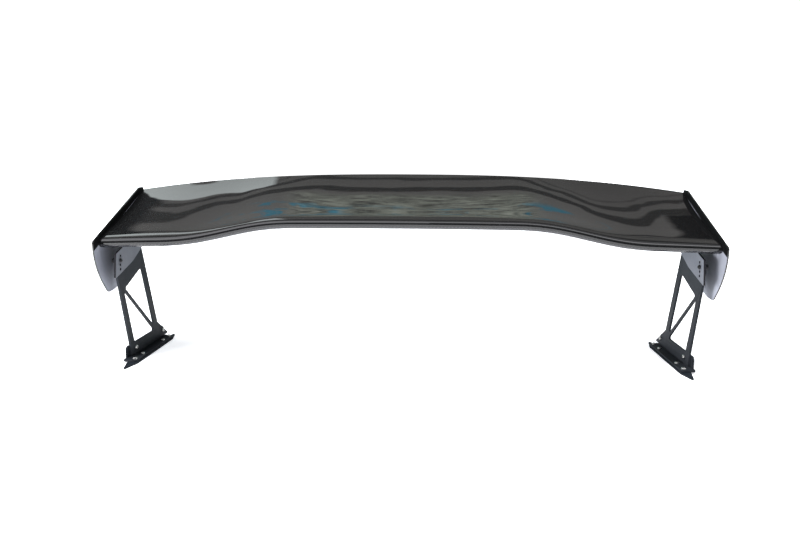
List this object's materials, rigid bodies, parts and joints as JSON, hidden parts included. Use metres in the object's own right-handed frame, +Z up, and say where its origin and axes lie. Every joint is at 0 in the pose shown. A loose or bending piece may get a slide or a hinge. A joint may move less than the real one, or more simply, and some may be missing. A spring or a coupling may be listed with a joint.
{
  "type": "racing rear wing",
  "caption": "Rear wing for a track car: an airfoil with a raised centre and end plates, on two windowed stands with bolt-on feet and an adjustable angle.",
  "frame": {"origin": "on the ground under the middle of the wing's bounding box", "axes": "+X to the right seen from the front, along the span; +Y to the rear; +Z up"},
  "size_m": [1.4, 0.2999, 0.4449],
  "materials": {
    "carbon_top": "woven carbon fibre under a thick clear gloss coat",
    "carbon_under": "woven carbon fibre under clear gloss coat",
    "carbon_plate": "woven carbon fibre plate under clear gloss coat",
    "carbon_inside": "bare carbon fibre laminate",
    "black_metal": "satin textured black anodised plate",
    "fin_metal": "smooth black anodised plate",
    "steel": "bright zinc plated",
    "black_steel": "black oxide",
    "bronze": "turned bearing bronze",
    "rubber": "matt moulded rubber"
  },
  "bodies": {
    "stands": {"stand_left": "black_metal", "pivot_bolt_left": "black_steel", "pivot_bush_left": "bronze", "pivot_nut_left": "black_steel", "foot_bracket_left": "black_metal", "base_pad_left": "rubber", "stand_bolt_1_left": "steel", "stand_nut_1_left": "steel", "stand_bolt_2_left": "steel", "stand_nut_2_left": "steel", "foot_screw_1_left": "steel", "foot_screw_2_left": "steel", "foot_screw_3_left": "steel", "foot_screw_4_left": "steel", "stand_right": "black_metal", "pivot_bolt_right": "black_steel", "pivot_bush_right": "bronze", "pivot_nut_right": "black_steel", "foot_bracket_right": "black_metal", "base_pad_right": "rubber", "stand_bolt_1_right": "steel", "stand_nut_1_right": "steel", "stand_bolt_2_right": "steel", "stand_nut_2_right": "steel", "foot_screw_1_right": "steel", "foot_screw_2_right": "steel", "foot_screw_3_right": "steel", "foot_screw_4_right": "steel"},
    "wing": {"upper_skin": "carbon_top", "lower_skin": "carbon_under", "front_spar": "carbon_inside", "rear_spar": "carbon_inside", "end_plate_left": "carbon_plate", "end_plate_screw_1_left": "black_steel", "end_plate_screw_2_left": "black_steel", "end_rib_left": "carbon_inside", "mount_rib_left": "black_metal", "fin_bracket_left": "fin_metal", "fin_screw_1_left": "steel", "fin_screw_2_left": "steel", "angle_bolt_left": "black_steel", "angle_washer_left": "black_steel", "angle_nut_left": "black_steel", "end_plate_right": "carbon_plate", "end_plate_screw_1_right": "black_steel", "end_plate_screw_2_right": "black_steel", "end_rib_right": "carbon_inside", "mount_rib_right": "black_metal", "fin_bracket_right": "fin_metal", "fin_screw_1_right": "steel", "fin_screw_2_right": "steel", "angle_bolt_right": "black_steel", "angle_washer_right": "black_steel", "angle_nut_right": "black_steel"}
  },
  "joints": [
    {"name": "wing_angle", "type": "hinge", "parent": "stands", "child": "wing", "pos_m": [0, -0.01, 0.286], "axis": [1, 0, 0], "range_deg": [-5, 5]}
  ]
}
